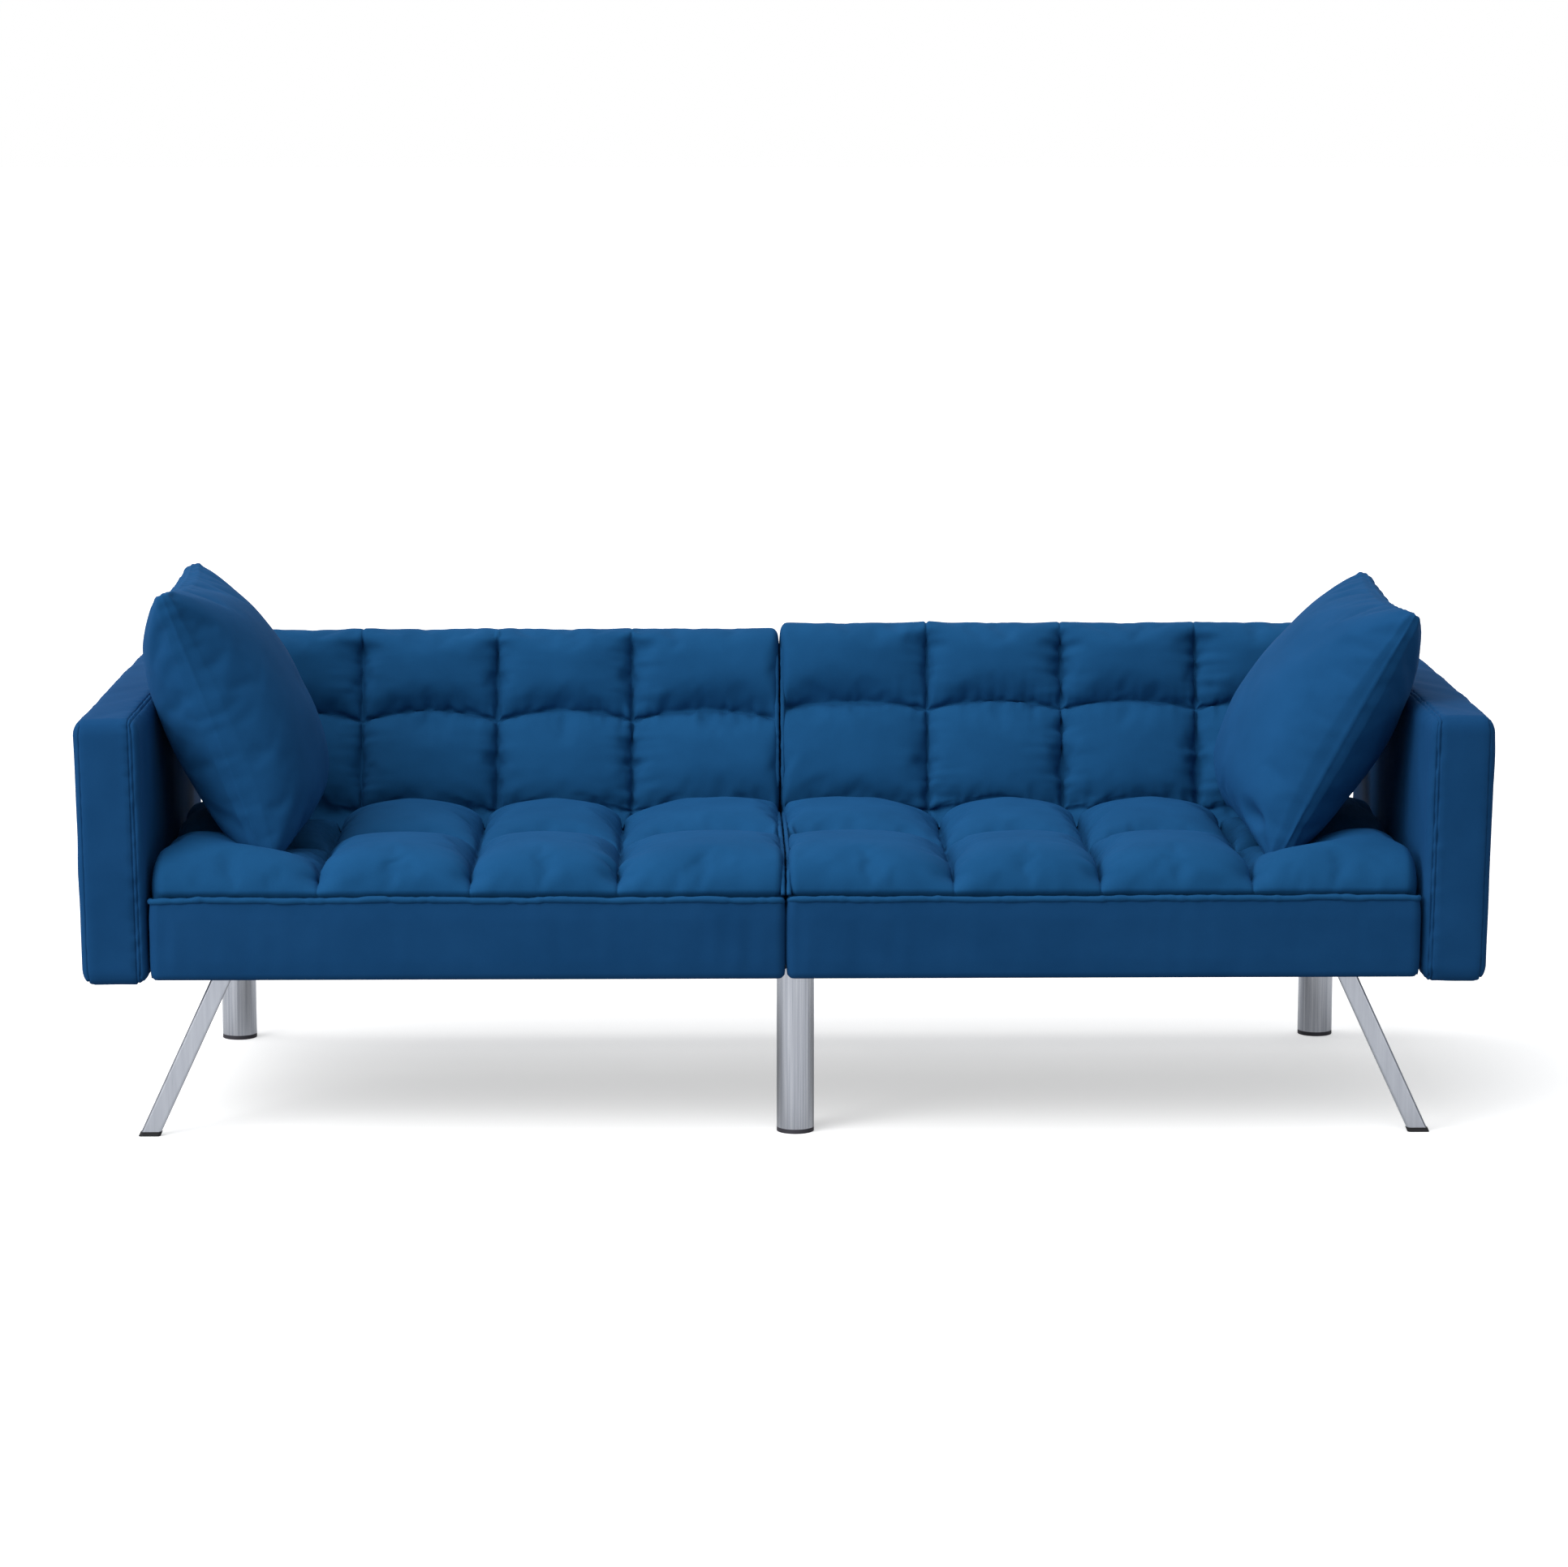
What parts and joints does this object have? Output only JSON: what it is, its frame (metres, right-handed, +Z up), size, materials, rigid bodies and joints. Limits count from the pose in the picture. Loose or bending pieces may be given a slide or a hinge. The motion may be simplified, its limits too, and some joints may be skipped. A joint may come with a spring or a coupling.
{
  "type": "futon sofa bed",
  "caption": "Tufted velvet futon sofa with a split back that folds flat, padded slab arms, two loose square pillows and satin metal legs.",
  "frame": {"origin": "on the floor under the middle of the overall box, back upright", "axes": "+X to the right as seen from the front, along the sofa's length; +Y to the rear; +Z up"},
  "size_m": [1.9, 0.752, 0.719],
  "materials": {
    "velvet_tufted": "matte",
    "velvet_plain": "matte",
    "velvet_welt": "matte",
    "velvet_pillow": "matte",
    "timber": "matte",
    "webbing": "matte",
    "lining": "matte",
    "black_steel": "satin",
    "satin_steel": "satin",
    "zinc": "satin",
    "black_plastic": "matte",
    "rubber": "matte"
  },
  "bodies": {
    "base": {"seat_rails_left": "timber", "seat_rails_right": "timber", "seat_webbing_left": "webbing", "seat_webbing_right": "webbing", "seat_pad_left": "velvet_tufted", "seat_pad_right": "velvet_tufted", "seat_border_left": "velvet_plain", "seat_border_right": "velvet_plain", "seat_piping_left": "velvet_welt", "seat_piping_right": "velvet_welt", "dust_cover_left": "lining", "dust_cover_right": "lining", "joining_bolts": "zinc", "runner_left": "black_steel", "runner_right": "black_steel", "runner_centre": "black_steel", "rear_beam": "black_steel", "runner_bolts": "zinc", "beam_buffers": "rubber", "arm_frame_left": "timber", "arm_frame_right": "timber", "arm_cover_left": "velvet_plain", "arm_cover_right": "velvet_plain", "arm_bolts": "zinc", "front_leg_left": "satin_steel", "front_leg_right": "satin_steel", "front_foot_pads": "rubber", "rear_leg_left": "satin_steel", "rear_leg_right": "satin_steel", "centre_leg": "satin_steel", "foot_caps": "black_plastic", "leg_screws": "zinc", "hinge_plates": "black_steel", "hinge_pins": "zinc", "hinge_springs": "zinc", "hinge_bolts": "zinc"},
    "back_left": {"back_frame_left": "timber", "back_webbing_left": "webbing", "back_pad_left": "velvet_tufted", "back_cover_left": "velvet_plain", "back_piping_left": "velvet_welt", "hinge_arms_left": "black_steel", "arm_plate_bolts_left": "zinc"},
    "back_right": {"back_frame_right": "timber", "back_webbing_right": "webbing", "back_pad_right": "velvet_tufted", "back_cover_right": "velvet_plain", "back_piping_right": "velvet_welt", "hinge_arms_right": "black_steel", "arm_plate_bolts_right": "zinc"},
    "pillow_left": {"pillow_left": "velvet_pillow"},
    "pillow_right": {"pillow_right": "velvet_pillow"}
  },
  "joints": [
    {"name": "back_left_recline", "type": "hinge", "parent": "base", "child": "back_left", "pos_m": [-0.415, 0.172, 0.32], "axis": [-1, 0, 0], "range_deg": [0, 70.5]},
    {"name": "back_right_recline", "type": "hinge", "parent": "base", "child": "back_right", "pos_m": [0.415, 0.172, 0.32], "axis": [-1, 0, 0], "range_deg": [0, 70.5]},
    {"name": "pillow_left_lift", "type": "slide", "parent": "base", "child": "pillow_left", "axis": [0, 0, 1], "range_m": [0, 0.4]},
    {"name": "pillow_right_lift", "type": "slide", "parent": "base", "child": "pillow_right", "axis": [0, 0, 1], "range_m": [0, 0.4]}
  ]
}
